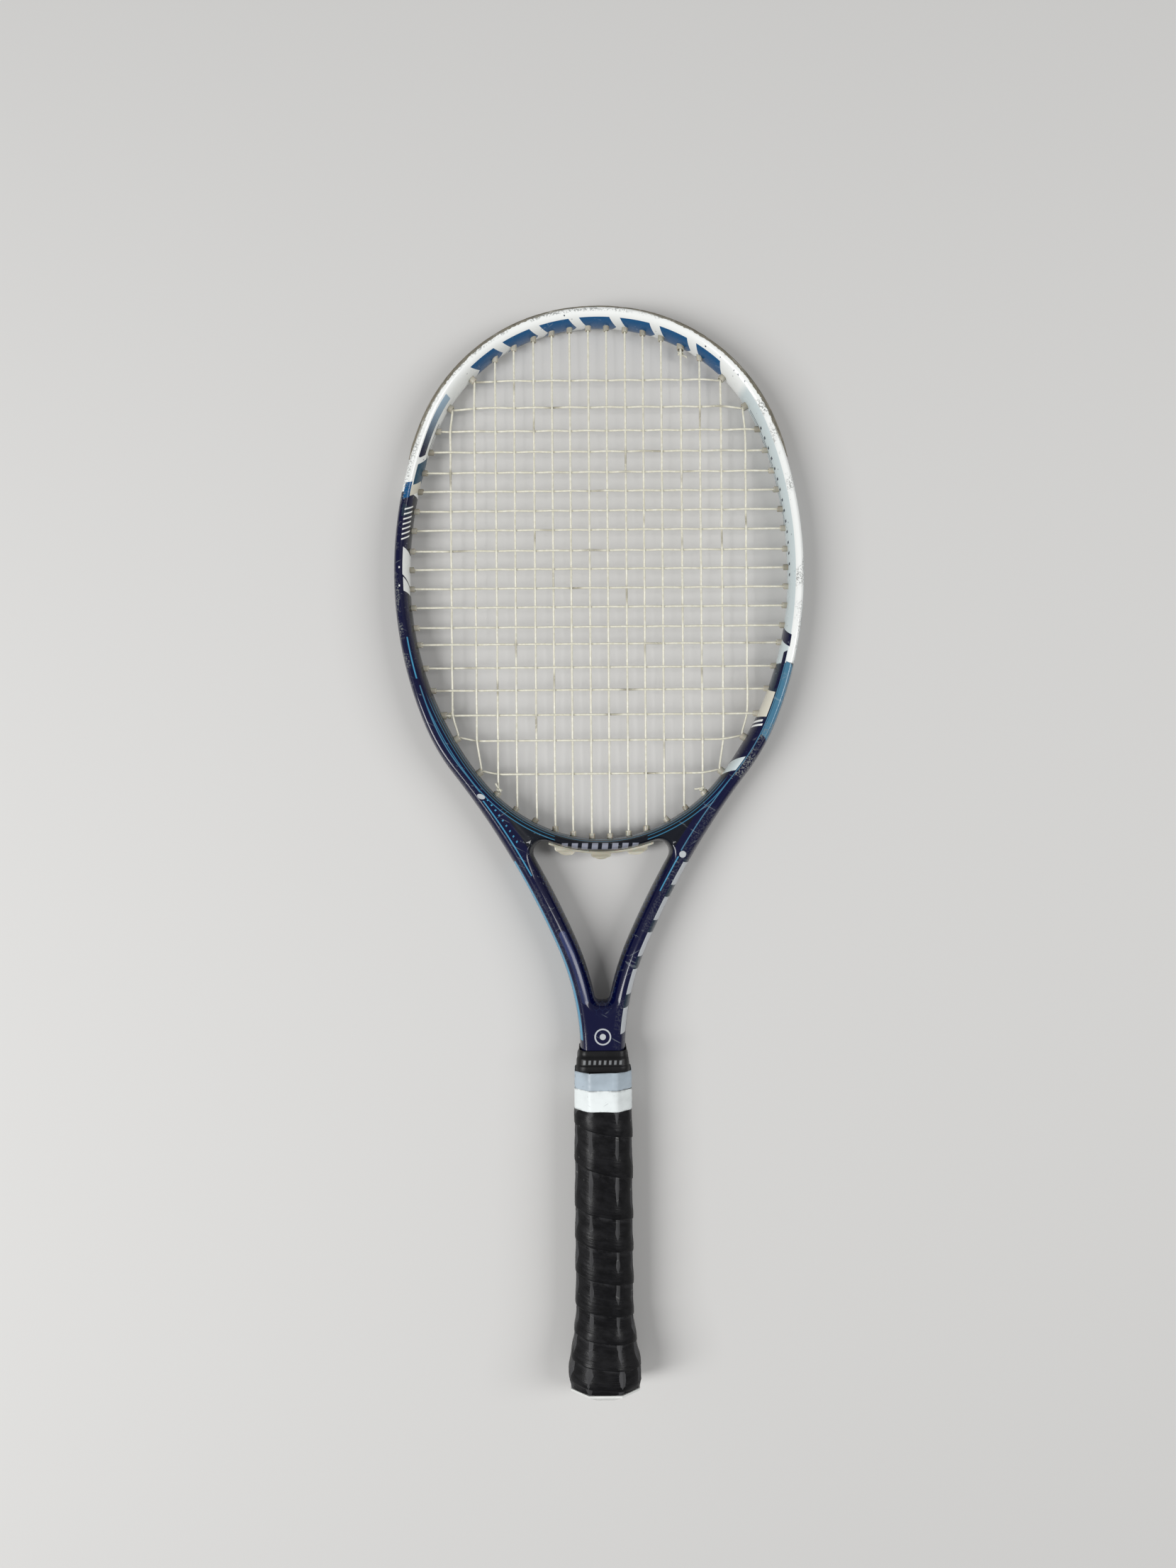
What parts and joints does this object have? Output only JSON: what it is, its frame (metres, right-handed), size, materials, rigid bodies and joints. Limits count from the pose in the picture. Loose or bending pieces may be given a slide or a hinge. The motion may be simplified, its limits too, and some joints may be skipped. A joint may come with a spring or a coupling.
{
  "type": "tennis racket",
  "caption": "Strung tennis racket: oval painted composite hoop with an open throat, woven string bed, edge guard, and a wrapped octagonal handle with a flared butt.",
  "frame": {"origin": "middle of the butt end's flat face", "axes": "+Y from the butt to the tip along the racket, +X across the head, +Z square to the string bed"},
  "size_m": [0.258, 0.6857, 0.0418],
  "materials": {
    "frame_composite": "clear-coated paint over woven carbon composite",
    "bumper_nylon": "scuffed translucent grey-brown nylon",
    "strip_nylon": "dull dark grey nylon",
    "clear_nylon": "smooth translucent grey nylon",
    "string": "smooth natural-coloured synthetic string, stained in places",
    "pallet_plastic": "moulded black plastic",
    "cap_plastic": "fine-grained white plastic, scuffed",
    "staple_steel": "drawn steel wire",
    "base_grip": "cushioned synthetic leather",
    "overgrip": "worn smooth polyurethane film over felt",
    "white_tape": "satin vinyl tape",
    "blue_tape": "satin vinyl tape",
    "collar_rubber": "soft black rubber",
    "label": "printed film label, left blank"
  },
  "bodies": {
    "racket": {"frame": "frame_composite", "bumper_guard": "bumper_nylon", "grommet_strip_left": "strip_nylon", "grommet_strip_right": "strip_nylon", "bridge_grommet_strip": "clear_nylon", "main_string": "string", "cross_string": "string", "pallet_front": "pallet_plastic", "pallet_back": "pallet_plastic", "butt_cap": "cap_plastic", "butt_cap_staples": "staple_steel", "base_grip": "base_grip", "grip_staple": "staple_steel", "overgrip": "overgrip", "overgrip_finishing_tape": "white_tape", "base_grip_finishing_tape": "blue_tape", "name_label": "label"},
    "collar": {"grip_collar": "collar_rubber"},
    "butt_cover": {"trap_door": "cap_plastic"}
  },
  "joints": [
    {"name": "collar_slide", "type": "slide", "parent": "racket", "child": "collar", "axis": [0, 1, 0], "range_m": [0, 0.005]},
    {"name": "cover_pull", "type": "slide", "parent": "racket", "child": "butt_cover", "axis": [0, -1, 0], "range_m": [0, 0.008]}
  ]
}
